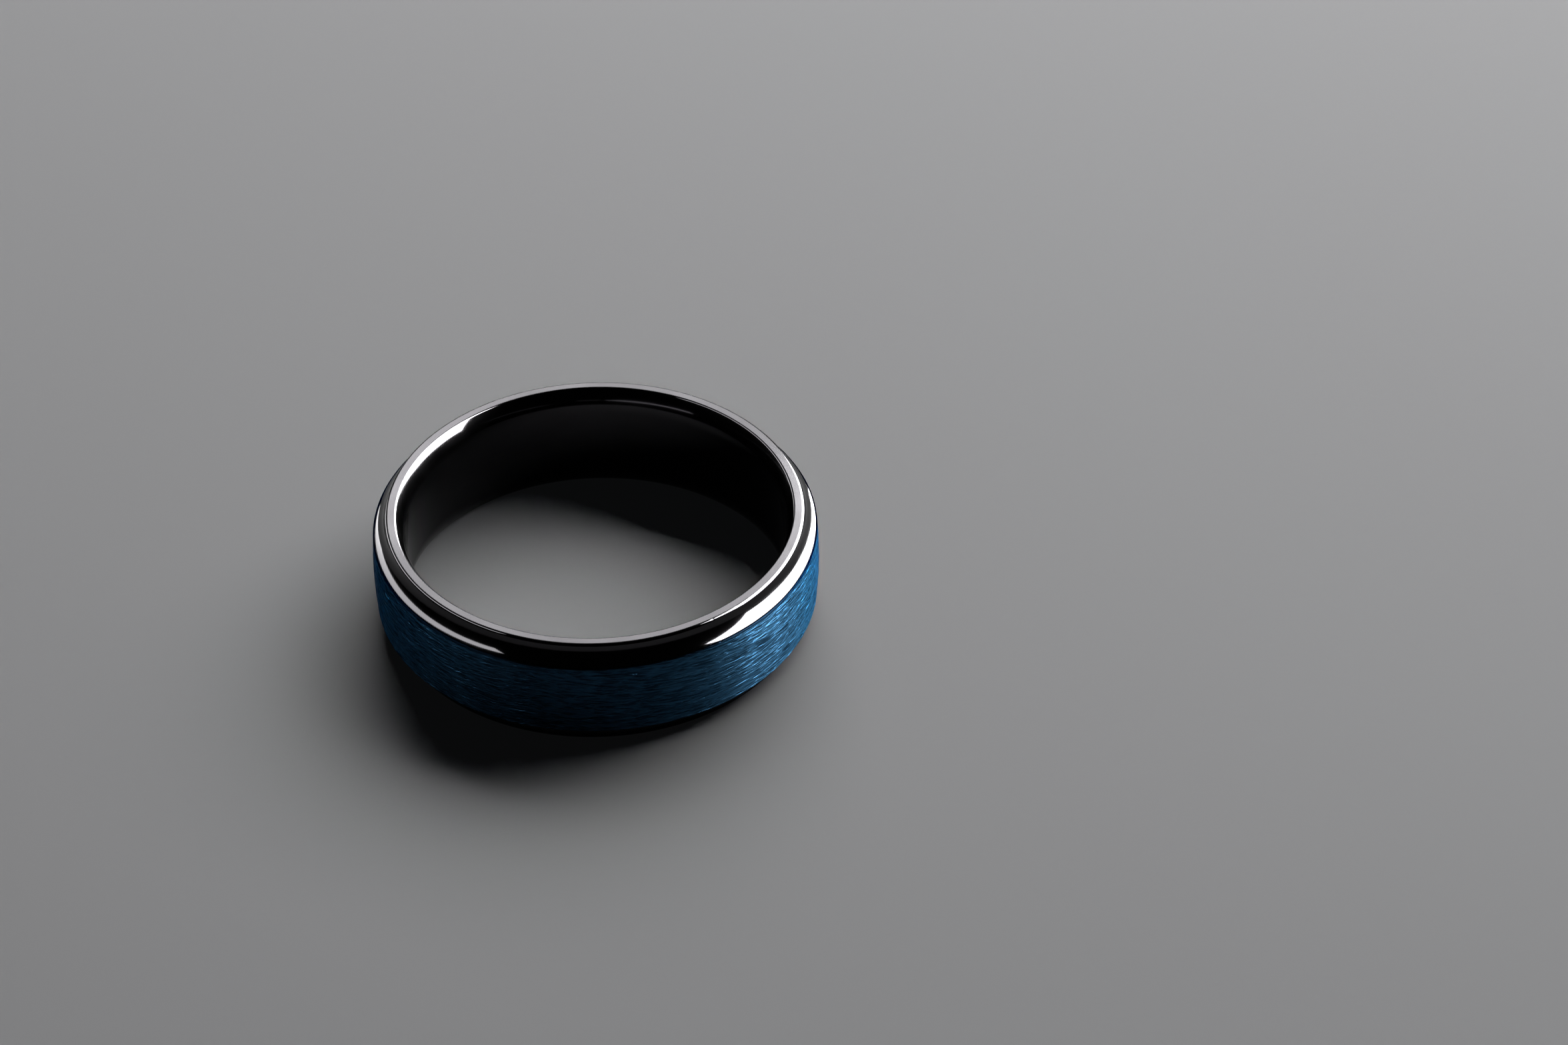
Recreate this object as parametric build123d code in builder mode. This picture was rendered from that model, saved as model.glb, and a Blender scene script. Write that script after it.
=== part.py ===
"""Wedding band with raised rims: a black liner, a brushed blue hoop and the film between them.

Millimetres, +Z up. The band lies flat on its lower rim, with the origin at the centre of
that rim and +Z along the finger. Every piece is a ring turned from one profile that is the
same above and below the middle of the band.
"""

import os

from build123d import *

# Driving dimensions
BAND_WIDTH = 6.0  # along the finger, rim to rim
BORE_RADIUS = 9.5  # inside diameter 19.0, which is US ring size 9
BORE_LAND_WIDTH = 3.6  # straight middle of the comfort-fit bore
BORE_MOUTH_RADIUS = 9.93  # where the comfort-fit curve meets the plane of a rim
RIM_RADIUS = 10.44  # where the hollow step meets the plane of a rim
STEP_RADIUS = 1.2  # of the hollow curve from a rim down to the shoulder
STEP_HEIGHT = 0.96  # from a rim down to the shoulder
SHOULDER_RADIUS = 10.99  # outside of the liner, between its two steps
BOND_THICKNESS = 0.02  # adhesive film between the liner and the blue hoop
BOND_SETBACK = 0.04  # from the edge of the blue hoop down to the end of the film
HOOP_WIDTH = 4.0  # along the finger, edge to edge
HOOP_EDGE_RADIUS = 11.08  # outside of the blue hoop at its two edges
HOOP_CROWN_RADIUS = 11.18  # outside of the blue hoop at the middle of the band

# Edge rounds
MOUTH_ROUND = 0.14
RIM_ROUND = 0.17
HOOP_ROUND = 0.05

half_band = BAND_WIDTH / 2
half_land = BORE_LAND_WIDTH / 2
half_shoulder = half_band - STEP_HEIGHT
half_hoop = HOOP_WIDTH / 2
half_bond = half_hoop - BOND_SETBACK
hoop_bore = SHOULDER_RADIUS + BOND_THICKNESS

# The section that every ring is turned from: local X is the radius, and local Y is the
# height above the middle of the band.
section = Plane(origin=(0, 0, half_band), x_dir=(1, 0, 0), z_dir=(0, -1, 0))

# Inner liner: a comfort-fit tube as wide as the band, with a hollow step ground round each
# end, which leaves the rims standing.
with BuildPart() as inner_liner:
    with BuildSketch(section) as liner_profile:
        with BuildLine():
            flare = TangentArc(
                (BORE_RADIUS, half_land), (BORE_MOUTH_RADIUS, half_band), tangent=(0, 1)
            )
            rim = Line(flare @ 1, (RIM_RADIUS, half_band))
            step = RadiusArc((SHOULDER_RADIUS, half_shoulder), rim @ 1, STEP_RADIUS)
            mirror(about=Plane.XZ)
            Line((BORE_RADIUS, -half_land), (BORE_RADIUS, half_land))
            Line(step @ 0, (SHOULDER_RADIUS, -half_shoulder))
        make_face()
        fillet(liner_profile.vertices().group_by(Axis.X)[2], radius=RIM_ROUND)
        fillet(liner_profile.vertices().group_by(Axis.X)[1], radius=MOUTH_ROUND)
    revolve(axis=Axis.Z)
inner_liner.part.label = "inner_liner"

# Hoop bond: the adhesive film that fills the gap between the liner and the blue hoop.
with BuildPart() as hoop_bond:
    with BuildSketch(section):
        with Locations((SHOULDER_RADIUS + BOND_THICKNESS / 2, 0)):
            Rectangle(BOND_THICKNESS, 2 * half_bond)
    revolve(axis=Axis.Z)
hoop_bond.part.label = "hoop_bond"

# Blue hoop: a thin ring over the liner, slightly crowned, with small rounded edges.
with BuildPart() as blue_hoop:
    with BuildSketch(section) as hoop_profile:
        with BuildLine():
            edge = Line((hoop_bore, half_hoop), (HOOP_EDGE_RADIUS, half_hoop))
            mirror(about=Plane.XZ)
            Line((hoop_bore, -half_hoop), (hoop_bore, half_hoop))
            ThreePointArc(edge @ 1, (HOOP_CROWN_RADIUS, 0), (HOOP_EDGE_RADIUS, -half_hoop))
        make_face()
        fillet(hoop_profile.vertices().group_by(Axis.X)[-1], radius=HOOP_ROUND)
    revolve(axis=Axis.Z)
blue_hoop.part.label = "blue_hoop"

os.makedirs("parts", exist_ok=True)
export_step(inner_liner.part, "parts/inner_liner.step")
export_step(hoop_bond.part, "parts/hoop_bond.step")
export_step(blue_hoop.part, "parts/blue_hoop.step")
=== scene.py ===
"""Looks for the wedding band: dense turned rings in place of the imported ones, and their finishes.

Metres, +Z up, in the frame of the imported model: the band lies on its lower rim on the floor at
z = 0, with its axis on Z. Each ring is turned from an outline of arcs, so that its polished
faces mirror cleanly, and its brushing and its small nicks are real relief in the mesh.
"""

import math

import bpy
import numpy as np
from mathutils import Euler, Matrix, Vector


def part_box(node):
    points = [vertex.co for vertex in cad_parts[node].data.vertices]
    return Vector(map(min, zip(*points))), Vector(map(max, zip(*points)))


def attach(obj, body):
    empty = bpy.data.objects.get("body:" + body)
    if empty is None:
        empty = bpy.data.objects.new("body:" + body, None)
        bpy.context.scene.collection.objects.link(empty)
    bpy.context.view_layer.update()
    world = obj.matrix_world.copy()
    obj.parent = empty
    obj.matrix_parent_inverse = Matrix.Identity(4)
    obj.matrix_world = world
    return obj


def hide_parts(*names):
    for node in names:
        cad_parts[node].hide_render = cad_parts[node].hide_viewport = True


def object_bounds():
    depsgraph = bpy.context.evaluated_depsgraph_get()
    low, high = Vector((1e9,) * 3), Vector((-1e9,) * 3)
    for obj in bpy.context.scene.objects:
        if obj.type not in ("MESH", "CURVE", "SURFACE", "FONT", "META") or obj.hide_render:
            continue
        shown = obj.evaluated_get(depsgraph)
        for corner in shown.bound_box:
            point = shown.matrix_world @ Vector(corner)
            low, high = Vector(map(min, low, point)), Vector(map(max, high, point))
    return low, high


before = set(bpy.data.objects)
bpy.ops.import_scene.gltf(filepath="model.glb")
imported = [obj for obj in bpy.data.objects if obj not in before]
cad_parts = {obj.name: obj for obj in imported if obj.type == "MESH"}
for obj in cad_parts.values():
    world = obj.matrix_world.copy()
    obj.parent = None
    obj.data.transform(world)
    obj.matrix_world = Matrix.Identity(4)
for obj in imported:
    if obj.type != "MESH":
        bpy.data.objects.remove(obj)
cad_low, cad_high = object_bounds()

MM = 0.001

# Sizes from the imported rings. The shoulder's radius is rounded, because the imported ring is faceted.
band_width = cad_high.z - cad_low.z
middle = (cad_high.z + cad_low.z) / 2
shoulder_radius = round(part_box("inner_liner")[1].x / MM, 2) * MM
half_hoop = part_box("blue_hoop")[1].z - middle
half_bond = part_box("hoop_bond")[1].z - middle

# The rest of each section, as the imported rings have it
BORE_RADIUS = 9.5 * MM
BORE_LAND_WIDTH = 3.6 * MM
BORE_MOUTH_RADIUS = 9.93 * MM
RIM_RADIUS = 10.44 * MM
STEP_RADIUS = 1.2 * MM
STEP_HEIGHT = 0.96 * MM
HOOP_EDGE_RADIUS = 11.08 * MM
HOOP_CROWN_RADIUS = 11.18 * MM
BOND_THICKNESS = 0.02 * MM
MOUTH_ROUND = 0.14 * MM
RIM_ROUND = 0.17 * MM
HOOP_ROUND = 0.05 * MM
HIDDEN_ROUND = 0.005 * MM

# How finely each ring is turned: its segments round the axis, and the steps along its arcs
LINER_SEGMENTS = 1280
HOOP_SEGMENTS = 800
BOND_SEGMENTS = 360
HOLLOW_STEPS = 10
RIM_STEPS = 5
MOUTH_STEPS = 6
FLARE_STEPS = 9
CROWN_STEPS = 52
HOOP_ROUND_STEPS = 5
HIDDEN_STEPS = 1
BOND_OUTER_STEPS = 4
BOND_INNER_STEPS = 2
SAME_POINT = 1e-9

half_band = band_width / 2
half_land = BORE_LAND_WIDTH / 2
half_shoulder = half_band - STEP_HEIGHT
hoop_bore = shoulder_radius + BOND_THICKNESS


# ---------------------------------------------------------------- turned rings


def outline(arcs):
    """The closed outline of a ring's section, as radii, heights and outward normals.

    arcs are the upper half, from the outside round to the bore, each as (centre radius, centre
    height, arc radius, first angle, last angle, steps), with heights from the middle of the band.
    Straight stretches join one arc to the next, and the lower half mirrors the upper one.
    """
    rows = []
    for centre_r, centre_z, radius, first, last, steps in arcs:
        for angle in np.linspace(first, last, steps + 1):
            nr, nz = math.cos(angle), math.sin(angle)
            rows.append((centre_r + radius * nr, centre_z + radius * nz, nr, nz))
    upper = np.array(rows)
    lower = upper[::-1] * np.array([1, -1, 1, -1])
    both = np.concatenate([upper, lower])
    keep = np.hypot(*(both - np.roll(both, 1, 0))[:, :2].T) > SAME_POINT
    return both[keep]


def turned(name, section, segments, relief=None):
    """A closed ring turned from an outline.

    relief(angles, section) gives a height along the normal in metres, for each segment and point.
    """
    angles = np.linspace(0, 2 * math.pi, segments, endpoint=False)
    radius, height, nr, nz = section.T
    lift = np.zeros((segments, len(section))) if relief is None else relief(angles, section)
    cos, sin = np.cos(angles)[:, None], np.sin(angles)[:, None]
    r = radius + lift * nr
    z = height + lift * nz + middle
    points = np.stack([r * cos, r * sin, z], -1)

    # The shading normal is the outline's own, tilted by the slope of the relief.
    around = (np.roll(lift, -1, 0) - np.roll(lift, 1, 0)) / (2 * radius * 2 * math.pi / segments)
    step = np.hypot(np.roll(radius, -1) - radius, np.roll(height, -1) - height)
    along = (np.roll(lift, -1, 1) - np.roll(lift, 1, 1)) / (step + np.roll(step, 1))
    tangent_r, tangent_z = -nz, nr
    normal_r = nr - along * tangent_r
    normal_z = nz - along * tangent_z
    normals = np.stack(
        [normal_r * cos + around * sin, normal_r * sin - around * cos, normal_z], -1
    )
    normals /= np.linalg.norm(normals, axis=-1, keepdims=True)

    rows = len(section)
    i, j = np.meshgrid(np.arange(segments), np.arange(rows), indexing="ij")
    i_next, j_next = (i + 1) % segments, (j + 1) % rows
    corners = [i * rows + j, i_next * rows + j, i_next * rows + j_next, i * rows + j_next]
    faces = np.stack(corners, -1).reshape(-1, 4)

    mesh = bpy.data.meshes.new(name)
    mesh.from_pydata(points.reshape(-1, 3).tolist(), [], faces.tolist())
    mesh.polygons.foreach_set("use_smooth", [True] * len(mesh.polygons))
    mesh.normals_split_custom_set_from_vertices(normals.reshape(-1, 3).tolist())
    piece = bpy.data.objects.new(name, mesh)
    bpy.context.scene.collection.objects.link(piece)
    return piece


def corner(r, z, radius, steps):
    """A quarter round whose outer corner would be at (r, z)."""
    return (r - radius, z - radius, radius, 0, math.pi / 2, steps)


def inner_corner(r, z, radius, steps):
    """A quarter round on the bore side, whose corner would be at (r, z)."""
    return (r + radius, z - radius, radius, math.pi / 2, math.pi, steps)


def liner_section():
    """The comfort-fit liner: hollow step, rim, and the bore's flare down to its straight land."""
    low = np.array([shoulder_radius, half_shoulder])
    chord = np.array([RIM_RADIUS, half_band]) - low
    length = np.linalg.norm(chord)
    out = np.array([chord[1], -chord[0]]) / length
    step_r, step_z = low + chord / 2 + out * math.sqrt(STEP_RADIUS**2 - length**2 / 4)
    foot = math.atan2(step_z - half_shoulder, step_r - shoulder_radius)
    rim_z = half_band - RIM_ROUND
    rim_r = step_r - math.sqrt((STEP_RADIUS + RIM_ROUND) ** 2 - (rim_z - step_z) ** 2)
    rim = math.atan2(step_z - rim_z, step_r - rim_r)

    run, rise = BORE_MOUTH_RADIUS - BORE_RADIUS, half_band - half_land
    flare = (run**2 + rise**2) / (2 * run)
    flare_r = BORE_RADIUS + flare
    mouth_z = half_band - MOUTH_ROUND
    mouth_r = flare_r - math.sqrt((flare - MOUTH_ROUND) ** 2 - (mouth_z - half_land) ** 2)
    mouth = math.atan2(mouth_z - half_land, mouth_r - flare_r)
    return outline(
        [
            corner(shoulder_radius, half_shoulder, HIDDEN_ROUND, HIDDEN_STEPS),
            (step_r, step_z, -STEP_RADIUS, foot, rim, HOLLOW_STEPS),
            (rim_r, rim_z, RIM_ROUND, rim, math.pi / 2, RIM_STEPS),
            (mouth_r, mouth_z, MOUTH_ROUND, math.pi / 2, mouth, MOUTH_STEPS),
            (flare_r, half_land, flare, mouth, math.pi, FLARE_STEPS),
        ]
    )


def hoop_section():
    """The blue hoop: its crowned face, a small polished round at each edge, and a plain bore."""
    rise = HOOP_CROWN_RADIUS - HOOP_EDGE_RADIUS
    crown = (half_hoop**2 + rise**2) / (2 * rise)
    crown_r = HOOP_CROWN_RADIUS - crown
    edge_z = half_hoop - HOOP_ROUND
    edge_r = crown_r + math.sqrt((crown - HOOP_ROUND) ** 2 - edge_z**2)
    turn = math.atan2(edge_z, edge_r - crown_r)
    return outline(
        [
            (crown_r, 0, crown, 0, turn, CROWN_STEPS),
            (edge_r, edge_z, HOOP_ROUND, turn, math.pi / 2, HOOP_ROUND_STEPS),
            inner_corner(hoop_bore, half_hoop, HIDDEN_ROUND, HIDDEN_STEPS),
        ]
    )


def bond_section():
    """The film of adhesive between the liner's shoulder and the hoop's bore."""
    return outline(
        [
            corner(hoop_bore, half_bond, HIDDEN_ROUND, BOND_OUTER_STEPS),
            inner_corner(shoulder_radius, half_bond, HIDDEN_ROUND, BOND_INNER_STEPS),
        ]
    )


# ---------------------------------------------------------------- relief

BRUSH_SEED = 11
# The standard deviation of the brushing's height
BRUSH_DEPTH = 0.0058 * MM
# How far in from the ends of the crowned face the brushing fades out
BRUSH_FADE = 0.08 * MM
# The crowned face is where the outline's normal points out at least this much
FACE_NORMAL = 0.99
# Cuts deeper than this many deviations are deepened by this share of the rest
DEEP_CUT = 1
DEEPENED = 0.6
# Each set of scratches: tilt from the circumference in degrees, length, width, share
BRUSH_SETS = (
    (-7.0, 0.8 * MM, 0.030 * MM, 0.7),
    (-2.5, 1.6 * MM, 0.026 * MM, 1.0),
    (1.0, 2.0 * MM, 0.024 * MM, 1.0),
    (5.5, 0.9 * MM, 0.032 * MM, 0.8),
)


def scratches(rng, shape, spacing, tilt, length, width):
    """Unit noise drawn out into scratches, at a tilt to the first axis and wrapping round it."""
    along = np.fft.fftfreq(shape[0], spacing[0])[:, None] * 2 * math.pi
    across = np.fft.fftfreq(shape[1], spacing[1])[None, :] * 2 * math.pi
    cos, sin = math.cos(tilt), math.sin(tilt)
    drawn = np.exp(-(((along * cos + across * sin) * length) ** 2) / 8)
    drawn *= np.exp(-(((across * cos - along * sin) * width) ** 2) / 2)
    noise = np.fft.ifft2(np.fft.fft2(rng.standard_normal(shape)) * drawn).real
    return noise / noise.std()


def brushing(angles, section):
    """The hoop's brushing: scratches cut down from its crowned face, and none on its edges.

    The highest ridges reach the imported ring's surface, and the rest lies below it.
    """
    rng = np.random.default_rng(BRUSH_SEED)
    radius, height, nr, _ = section.T
    face = np.flatnonzero(nr > FACE_NORMAL)
    face = face[np.argsort(height[face])]
    spacing = (
        2 * math.pi * HOOP_CROWN_RADIUS / len(angles),
        (height[face[-1]] - height[face[0]]) / (len(face) - 1),
    )
    shape = (len(angles), len(face))
    total = np.zeros(shape)
    for tilt, length, width, share in BRUSH_SETS:
        cut = scratches(rng, shape, spacing, math.radians(tilt), length, width)
        total += share * (cut + DEEPENED * np.minimum(cut + DEEP_CUT, 0))
    fade = np.clip((half_hoop - HOOP_ROUND - np.abs(height[face])) / BRUSH_FADE, 0, 1)
    lift = np.zeros((len(angles), len(section)))
    lift[:, face] = BRUSH_DEPTH * (total - total.max()) / total.std() * fade
    return lift


NICK_SEED = 5
NICKS = 26
NICK_DEPTH = (0.004 * MM, 0.016 * MM)
NICK_LENGTH = (0.03 * MM, 0.10 * MM)
NICK_WIDTH = 0.035 * MM
# A nick sits this share of its edge's round away from where the sharp corner would be, towards
# the middle of the flat, and this far below the flat.
NICK_IN = 0.3
NICK_BELOW = 0.02 * MM


def nicks(angles, section):
    """A few small dents along the four edges of the rims."""
    rng = np.random.default_rng(NICK_SEED)
    radius, height = section.T[:2]
    edges = (RIM_RADIUS - NICK_IN * RIM_ROUND, BORE_MOUTH_RADIUS + NICK_IN * MOUTH_ROUND)
    lift = np.zeros((len(angles), len(section)))
    for _ in range(NICKS):
        edge_r = edges[rng.integers(2)]
        edge_z = rng.choice((-1, 1)) * (half_band - NICK_BELOW)
        centre = rng.uniform(0, 2 * math.pi)
        depth = rng.uniform(*NICK_DEPTH)
        length = rng.uniform(*NICK_LENGTH)
        turn = (angles - centre + math.pi) % (2 * math.pi) - math.pi
        along = np.exp(-((turn * edge_r / length) ** 2))[:, None]
        apart = np.hypot(radius - edge_r, height - edge_z)
        lift -= depth * along * np.exp(-((apart / NICK_WIDTH) ** 2))
    return lift


# ---------------------------------------------------------------- finishes


class Finish:
    """A material and short calls for the nodes that the finishes share."""

    def __init__(self, name):
        self.material = bpy.data.materials.new(name)
        self.material.use_nodes = True
        self.tree = self.material.node_tree
        self.tree.nodes.clear()
        self.shader = self.add("ShaderNodeBsdfPrincipled")
        self.add("ShaderNodeOutputMaterial", {"Surface": self.shader.outputs[0]})
        self.place = self.add("ShaderNodeTexCoord").outputs["Object"]

    def add(self, kind, inputs=None, **settings):
        node = self.tree.nodes.new(kind)
        for key, value in settings.items():
            setattr(node, key, value)
        for key, value in (inputs or {}).items():
            if isinstance(value, bpy.types.NodeSocket):
                self.tree.links.new(value, node.inputs[key])
            else:
                node.inputs[key].default_value = value
        return node

    def set(self, **inputs):
        """Sets the shader's inputs, with _ for a space in their names."""
        for key, value in inputs.items():
            socket = self.shader.inputs[key.replace("_", " ")]
            if isinstance(value, bpy.types.NodeSocket):
                self.tree.links.new(value, socket)
            else:
                socket.default_value = value

    def maths(self, operation, a, b=0.0):
        return self.add("ShaderNodeMath", {0: a, 1: b}, operation=operation).outputs[0]

    def ramp(self, value, low, high, to_low=0.0, to_high=1.0):
        inputs = {
            "Value": value,
            "From Min": low,
            "From Max": high,
            "To Min": to_low,
            "To Max": to_high,
        }
        return self.add("ShaderNodeMapRange", inputs).outputs["Result"]

    def mix(self, factor, first, second):
        inputs = {"Factor": factor, 6: first, 7: second}
        return self.add("ShaderNodeMix", inputs, data_type="RGBA").outputs[2]

    def noise(self, around, across, detail, shear=(0.0, 0.0)):
        """Noise whose marks are about `around` metres long round the band and `across` wide.

        shear tilts them out of the band's plane, towards X and Y.
        """
        x, y, z = self.add("ShaderNodeSeparateXYZ", {0: self.place}).outputs
        lean_x = self.maths("MULTIPLY", x, shear[0])
        lean_y = self.maths("MULTIPLY", y, shear[1])
        height = self.maths("ADD", z, self.maths("ADD", lean_x, lean_y))
        at = self.add("ShaderNodeCombineXYZ", {0: x, 1: y, 2: height}).outputs[0]
        inputs = {"Vector": at, "Scale": (1 / around, 1 / around, 1 / across)}
        scaled = self.add("ShaderNodeMapping", inputs).outputs[0]
        inputs = {"Vector": scaled, "Scale": 1.0, "Detail": detail}
        return self.add("ShaderNodeTexNoise", inputs).outputs["Fac"]

    def ridge(self, value, width):
        """1 along the lines where a noise crosses its middle value, falling to 0 beside them."""
        off_middle = self.maths("ABSOLUTE", self.maths("SUBTRACT", value, 0.5))
        return self.ramp(off_middle, 0.0, width, 1.0, 0.0)

    def from_middle(self):
        """The height above or below the middle of the band."""
        height = self.add("ShaderNodeSeparateXYZ", {0: self.place}).outputs[2]
        return self.maths("ABSOLUTE", self.maths("SUBTRACT", height, middle))

    def tangent_round_band(self):
        """Gives the shader a tangent that runs round the band."""
        tangent = self.add("ShaderNodeTangent", direction_type="RADIAL", axis="Z").outputs[0]
        self.tree.links.new(tangent, self.shader.inputs["Tangent"])

    def bump(self, height, distance, normal=None):
        inputs = {"Height": height, "Distance": distance}
        if normal is not None:
            inputs["Normal"] = normal
        return self.add("ShaderNodeBump", inputs).outputs[0]


# The shader spreads reflections along its tangent, which runs round the band. A quarter turn
# makes that across the band, as fine marks that run round it do.
ANISOTROPY = 0.9
QUARTER_TURN = 0.25

# In the finishes below, a NOISE is how long its marks are round the band, how wide across it,
# its detail, and in some how they lean out of the band's plane, towards X and Y. A SPAN is the
# stretch of a noise's values that is drawn out to the whole of a blend.
BLACK = (0.037, 0.036, 0.0382, 1)
HAIRLINE_NOISE = (9 * MM, 0.018 * MM, 3.0)
HAIRLINE_DEPTH = 0.00006 * MM
WIPE_NOISE = (2.2 * MM, 0.9 * MM, 3.0)
WIPE_SPAN = (0.3, 0.7)
WIPE_COLOUR = 0.88
POLISHED = 0.08
LAPPED = 0.21
# How far below the rim's flat the lapping starts, and where it is full
LAPPING_FROM = 0.02 * MM
LAPPING_FULL = 0.005 * MM
# The hairlines' share in the unevenness of the polish, and its least and greatest factor
HAIRLINE_SHARE = 0.5
UNEVEN_SPAN = (0.55, 1.0)
UNEVEN_FACTOR = (0.8, 1.25)


def mirror_finish():
    """The black plating: mirror polish on the curves, and fine lapping round the flat rims.

    The lapping runs round the band, so it spreads reflections across it, in and out.
    """
    f = Finish("black_mirror")
    hairline = f.noise(*HAIRLINE_NOISE)
    wipe = f.noise(*WIPE_NOISE)
    wiped = [c * WIPE_COLOUR for c in BLACK[:3]] + [1]
    on_rim = f.ramp(f.from_middle(), half_band - LAPPING_FROM, half_band - LAPPING_FULL)
    marks = f.maths("ADD", f.maths("MULTIPLY", hairline, HAIRLINE_SHARE), wipe)
    uneven = f.ramp(marks, *UNEVEN_SPAN, *UNEVEN_FACTOR)
    f.set(
        Metallic=1.0,
        Base_Color=f.mix(f.ramp(wipe, *WIPE_SPAN), wiped, BLACK),
        Roughness=f.maths("MULTIPLY", uneven, f.ramp(on_rim, 0.0, 1.0, POLISHED, LAPPED)),
        Anisotropic=ANISOTROPY,
        Anisotropic_Rotation=QUARTER_TURN,
        Normal=f.bump(hairline, HAIRLINE_DEPTH),
    )
    f.tangent_round_band()
    return f.material


BLUE_DEEP = (0.0047, 0.0138, 0.0250, 1)
BLUE_LIGHT = (0.0074, 0.0218, 0.0410, 1)
BLUE_CLOUD = (0.0042, 0.0124, 0.0226, 1)
# The scratches' lighter blue is a painted highlight: it stands in for the glints that the scratches
# catch.
BLUE_SCRATCH_PAINTED_GLINT = (0.0240, 0.076, 0.140, 1)
BLUE_EDGE = (0.0010, 0.0025, 0.0050, 1)
BLUE_GRAZING = (0.10, 0.12, 0.15, 1)
# The roughness where the tone is deep, and where it is light
BLUE_ROUGHNESS = (0.28, 0.23)
GRAIN_NOISE = (1.1 * MM, 0.012 * MM, 2.0, (0.05, -0.04))
GRAIN_SHARE = 0.5
GRAIN_DEPTH = 0.0015 * MM
BROAD_NOISE = (3.0 * MM, 0.12 * MM, 3.0, (0.03, 0.03))
BROAD_SHARE = 0.5
TONE_SPAN = (0.35, 0.65)
CLOUD_NOISE = (5.0 * MM, 2.5 * MM, 2.0)
CLOUD_SPAN = (0.35, 0.75)
CLOUD_SHARE = 0.3
# Scratches lie where a noise crosses its middle value, this far to each side of it.
RISING_NOISE = (1.6 * MM, 0.13 * MM, 1.0, (0.12, -0.07))
RISING_WIDTH = 0.10
FALLING_NOISE = (1.3 * MM, 0.11 * MM, 1.0, (-0.10, 0.13))
FALLING_WIDTH = 0.07
# How much of the painted highlight colour the scratches take
SCRATCH_GLINT_SHARE = 0.7
SCRATCH_DEPTH = 0.0085 * MM
# How far in from the hoop's end the dark edge starts, and where it is full
EDGE_FROM = 1.6 * HOOP_ROUND
EDGE_FULL = 0.6 * HOOP_ROUND


def blue_finish():
    """Blue plating over circumferential brushing, with a plain dark edge. Its scratches are real bumps,
    and they are also painted a lighter blue, which is a painted highlight for the glints they catch.
    """
    f = Finish("blue_brushed")
    grain = f.noise(*GRAIN_NOISE)
    broad = f.noise(*BROAD_NOISE)
    cloud = f.noise(*CLOUD_NOISE)
    rising = f.ridge(f.noise(*RISING_NOISE), RISING_WIDTH)
    falling = f.ridge(f.noise(*FALLING_NOISE), FALLING_WIDTH)
    scratch_and_glint = f.maths("MAXIMUM", rising, falling)
    fine, coarse = f.maths("MULTIPLY", grain, GRAIN_SHARE), f.maths("MULTIPLY", broad, BROAD_SHARE)
    tone = f.maths("ADD", fine, coarse)
    body = f.mix(f.ramp(tone, *TONE_SPAN), BLUE_DEEP, BLUE_LIGHT)
    body = f.mix(f.ramp(cloud, *CLOUD_SPAN, 0.0, CLOUD_SHARE), body, BLUE_CLOUD)
    # Painted highlight: the scratches are drawn in a lighter blue for their glints, on top of their
    # real bump below.
    body = f.mix(f.maths("MULTIPLY", scratch_and_glint, SCRATCH_GLINT_SHARE), body, BLUE_SCRATCH_PAINTED_GLINT)
    edge = f.ramp(f.from_middle(), half_hoop - EDGE_FROM, half_hoop - EDGE_FULL)
    f.set(
        Metallic=1.0,
        Base_Color=f.mix(edge, body, BLUE_EDGE),
        Roughness=f.ramp(tone, *TONE_SPAN, *BLUE_ROUGHNESS),
        Specular_Tint=BLUE_GRAZING,
        Anisotropic=ANISOTROPY,
        Anisotropic_Rotation=QUARTER_TURN,
        Normal=f.bump(scratch_and_glint, -SCRATCH_DEPTH, normal=f.bump(grain, GRAIN_DEPTH)),
    )
    f.tangent_round_band()
    return f.material


SPECK_NOISE = (0.05 * MM, 0.05 * MM, 3.0)
SPECK_SPAN = (0.3, 0.7)
FILM_DARK = (0.006, 0.006, 0.007, 1)
FILM_LIGHT = (0.02, 0.02, 0.022, 1)
FILM_ROUGHNESS = (0.45, 0.7)


def film_finish():
    """Dark cured adhesive."""
    f = Finish("bond_film")
    speck = f.noise(*SPECK_NOISE)
    f.set(
        Base_Color=f.mix(speck, FILM_DARK, FILM_LIGHT),
        Roughness=f.ramp(speck, *SPECK_SPAN, *FILM_ROUGHNESS),
    )
    return f.material


# ---------------------------------------------------------------- the band


def place(piece, node, material):
    """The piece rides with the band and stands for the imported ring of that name.

    It is hidden from diffuse rays, so that the floor gets its shadow but no blue glow and no
    glints from it.
    """
    piece.data.materials.append(material)
    piece.visible_diffuse = False
    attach(piece, "root")
    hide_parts(node)


liner = turned("liner", liner_section(), LINER_SEGMENTS, nicks)
place(liner, "inner_liner", mirror_finish())
hoop = turned("brushed_hoop", hoop_section(), HOOP_SEGMENTS, brushing)
place(hoop, "blue_hoop", blue_finish())
bond = turned("bond_line", bond_section(), BOND_SEGMENTS)
place(bond, "hoop_bond", film_finish())


# ---------------------------------------------------------------- camera, floor and light

CAMERA_PLACE = (9.41 * MM, -167.83 * MM, 141.47 * MM)
CAMERA_TILT = math.radians(50.90)
CAMERA_LENS = 99.5
CAMERA_SENSOR = 36
CAMERA_NEAR = 5 * MM
CAMERA_FAR = 10

camera_data = bpy.data.cameras.new("camera")
camera_data.lens = CAMERA_LENS
camera_data.sensor_width = CAMERA_SENSOR
camera_data.clip_start = CAMERA_NEAR
camera_data.clip_end = CAMERA_FAR
camera = bpy.data.objects.new("camera", camera_data)
camera.location = CAMERA_PLACE
camera.rotation_euler = (CAMERA_TILT, 0, 0)
bpy.context.scene.collection.objects.link(camera)
bpy.context.scene.camera = camera
bpy.context.scene.view_settings.view_transform = "Standard"

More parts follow.
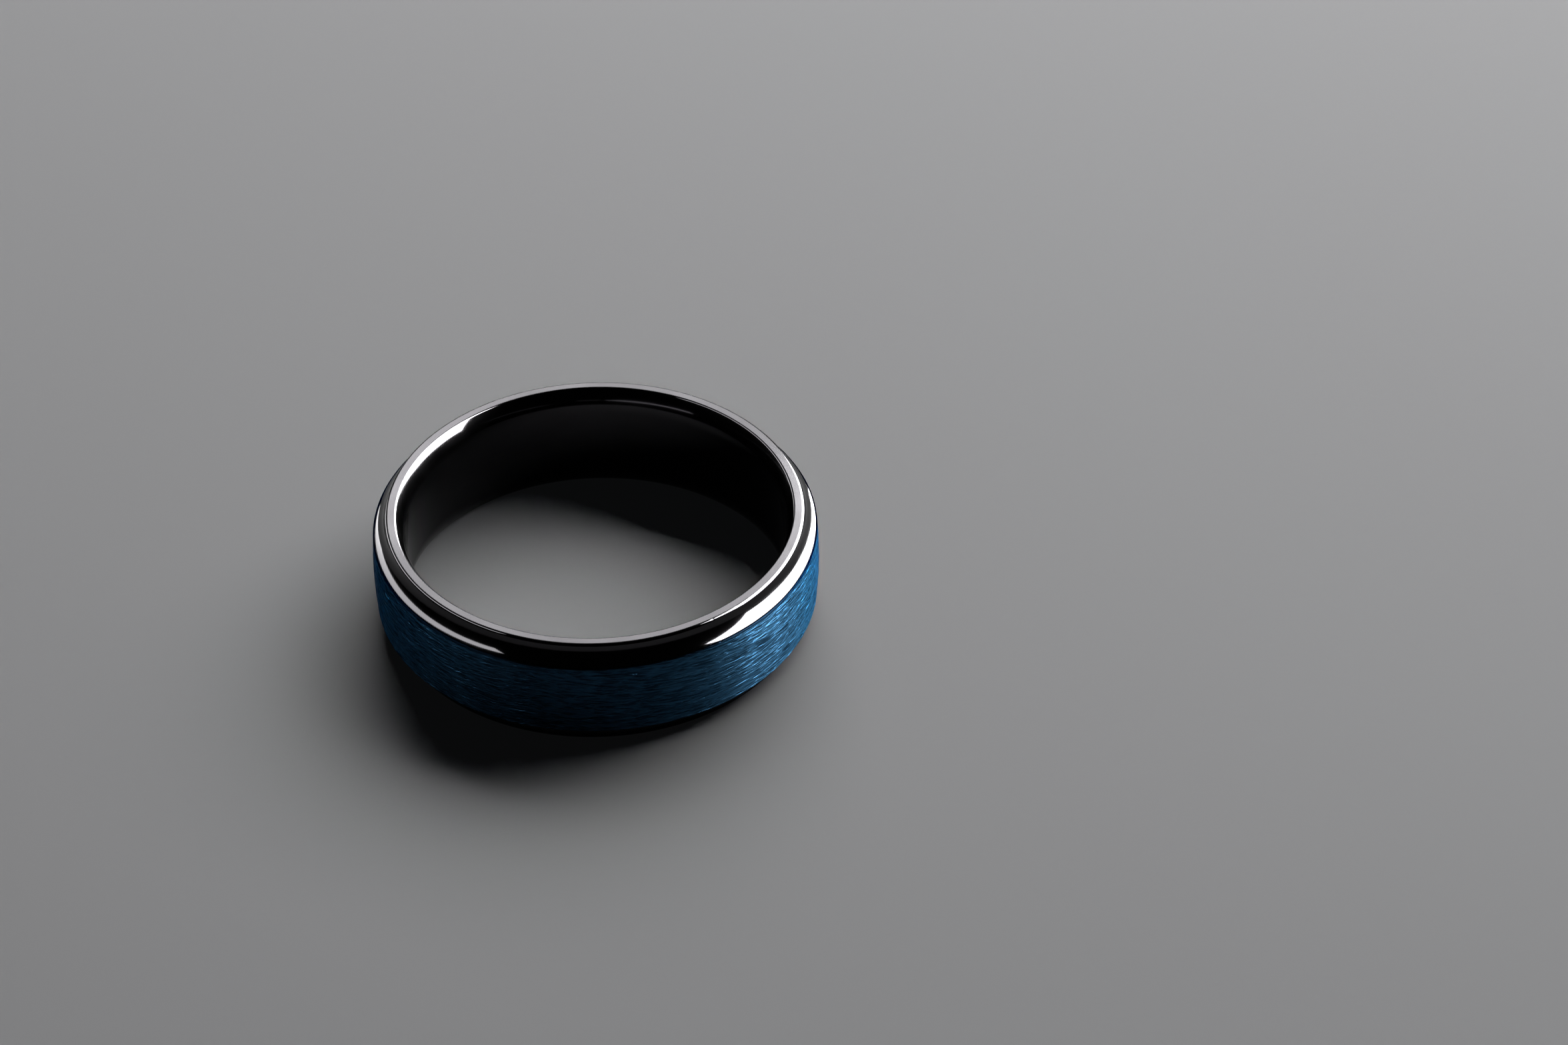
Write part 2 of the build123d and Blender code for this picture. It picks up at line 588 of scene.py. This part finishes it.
FLOOR_HALF = 1.5
FLOOR_COLOUR = (0.62, 0.62, 0.63, 1)
FLOOR_ROUGHNESS = 0.85


def floor_finish():
    """A plain pale floor. It is wholly matt, or the bright softboxes would show in its shadows."""
    f = Finish("floor")
    f.set(Base_Color=FLOOR_COLOUR, Roughness=FLOOR_ROUGHNESS, Specular_IOR_Level=0.0)
    return f.material


floor_mesh = bpy.data.meshes.new("floor")
corners = [(x * FLOOR_HALF, y * FLOOR_HALF, 0) for x, y in ((-1, -1), (1, -1), (1, 1), (-1, 1))]
floor_mesh.from_pydata(corners, [], [(0, 1, 2, 3)])
floor_mesh.materials.append(floor_finish())
floor = bpy.data.objects.new("floor", floor_mesh)
bpy.context.scene.collection.objects.link(floor)

# Each softbox: its heading from +Y towards +X, its elevation and its roll in degrees, then its
# distance, width, height and radiance. They are what the band mirrors.
SOFTBOXES = {
    "window": (60.5, 29, -14, 0.60, 0.965, 0.63, 72.0),
    "roof_light": (-73, 27, 37, 0.60, 1.24, 0.18, 10.0),
    "back": (-6, 40, 0, 0.60, 0.20, 0.30, 10.0),
}
# The key light lights the floor in their place, and the band doesn't mirror it.
KEY_LIGHT = (28, 40, 0, 0.30, 0.45, 0.20, 2.95)


def softbox(name, heading, elevation, roll, distance, width, height, radiance):
    """An area light that faces the origin."""
    heading, elevation = math.radians(heading), math.radians(elevation)
    data = bpy.data.lights.new(name, "AREA")
    data.shape = "RECTANGLE"
    data.size, data.size_y = width, height
    data.energy = radiance * math.pi * width * height
    box = bpy.data.objects.new(name, data)
    box.location = (
        distance * math.cos(elevation) * math.sin(heading),
        distance * math.cos(elevation) * math.cos(heading),
        distance * math.sin(elevation),
    )
    aim = box.location.to_track_quat("Z", "Y")
    box.rotation_euler = (aim @ Euler((0, 0, math.radians(roll))).to_quaternion()).to_euler()
    bpy.context.scene.collection.objects.link(box)
    return box


for name, settings in SOFTBOXES.items():
    softbox("softbox_" + name, *settings).visible_diffuse = False
key_light = softbox("key_light", *KEY_LIGHT)
key_light.visible_glossy = False
# With it on, the floor's diffuse rays, which pass through the band, would reach the light behind
# it and brighten its shadow.
key_light.data.cycles.use_multiple_importance_sampling = False

WORLD_COLOUR = (0.9, 0.95, 1.0, 1)
WORLD_STRENGTH = 0.005

world = bpy.data.worlds.new("studio")
world.use_nodes = True
background = world.node_tree.nodes["Background"]
background.inputs["Color"].default_value = WORLD_COLOUR
background.inputs["Strength"].default_value = WORLD_STRENGTH
bpy.context.scene.world = world
